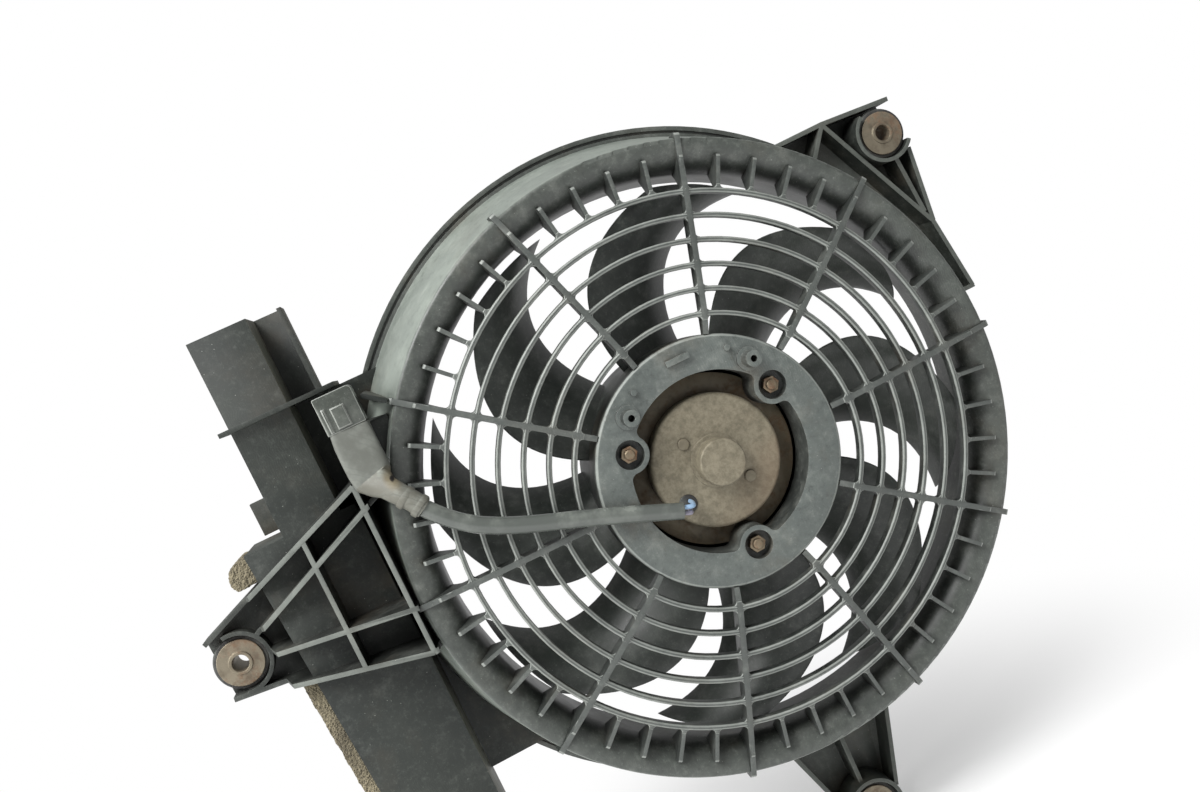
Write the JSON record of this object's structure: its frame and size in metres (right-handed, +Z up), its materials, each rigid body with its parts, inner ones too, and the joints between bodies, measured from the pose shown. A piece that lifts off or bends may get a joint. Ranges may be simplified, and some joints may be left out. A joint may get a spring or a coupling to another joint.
{
  "type": "radiator cooling fan",
  "caption": "Axial condenser cooling fan: electric motor and swept blades in a moulded shroud with a domed finger guard, side air duct, rubber-bushed brackets and a lead with connector.",
  "frame": {"origin": "on the fan's axis, in the plane of the shroud's rear rim", "axes": "+Y along the fan's axis, from the guard to the rear rim; +Z up; +X to the right seen from the guard"},
  "size_m": [0.4866, 0.0963, 0.4456],
  "materials": {
    "shroud_plastic": "moulded, dusty",
    "guard_plastic": "moulded, dusty",
    "fan_plastic": "moulded, dusty",
    "seal_rubber": "matte",
    "seal_foam": "aged open-cell foam",
    "sleeve_steel": "zinc-plated, rusted",
    "cap_steel": "dull zinc, dusty",
    "bracket_steel": "bare, rusted",
    "fastener_steel": "zinc-plated, rusted",
    "rivet_steel": "dull zinc, dusty",
    "can_steel": "black paint",
    "shaft_steel": "ground",
    "magnet_ferrite": "sintered, matte",
    "core_steel": "laminated",
    "winding_copper": "enamelled wire",
    "commutator_copper": "turned",
    "bush_bronze": "sintered",
    "card_board": "phenolic board",
    "brush_carbon": "graphite",
    "spring_steel": "drawn wire",
    "insert_metal": "turned",
    "terminal_brass": "tinned",
    "plug_dark": "moulded, dusty",
    "plug_grey": "moulded, dusty",
    "boot_rubber": "dusty",
    "lead_tube": "smooth tube",
    "wire_blue": "insulated wire",
    "wire_grey": "insulated wire"
  },
  "bodies": {
    "shroud": {"shroud_ring": "shroud_plastic", "guard_grille": "guard_plastic", "motor_ring": "guard_plastic", "side_duct": "shroud_plastic", "bracket_left": "shroud_plastic", "bracket_upper": "shroud_plastic", "bracket_lower": "shroud_plastic", "mount_sleeves": "sleeve_steel", "mount_grommets": "seal_rubber", "foam_seal": "seal_foam", "motor_end_cap": "cap_steel", "motor_can": "can_steel", "motor_bracket": "bracket_steel", "mount_studs": "fastener_steel", "mount_nuts": "fastener_steel", "cap_rivets": "rivet_steel", "motor_magnets": "magnet_ferrite", "front_bearing": "bush_bronze", "rear_bearing": "bush_bronze", "brush_card": "card_board", "carbon_brushes": "brush_carbon", "brush_springs": "spring_steel", "connector_holder": "shroud_plastic", "connector_cover": "plug_dark", "connector_body": "plug_grey", "connector_terminals": "terminal_brass", "cable_seal": "seal_rubber", "cable_boot": "boot_rubber", "cable_sleeve": "lead_tube", "lead_wire_blue": "wire_blue", "lead_wire_grey": "wire_grey"},
    "rotor": {"motor_shaft": "shaft_steel", "armature_core": "core_steel", "armature_winding": "winding_copper", "commutator": "commutator_copper", "thrust_washers": "card_board", "fan_rotor": "fan_plastic", "hub_insert": "insert_metal", "fan_nut": "fastener_steel"}
  },
  "joints": [
    {"name": "fan_spin", "type": "hinge", "parent": "shroud", "child": "rotor", "pos_m": [0, 0, 0], "axis": [0, 1, 0], "continuous": true}
  ]
}
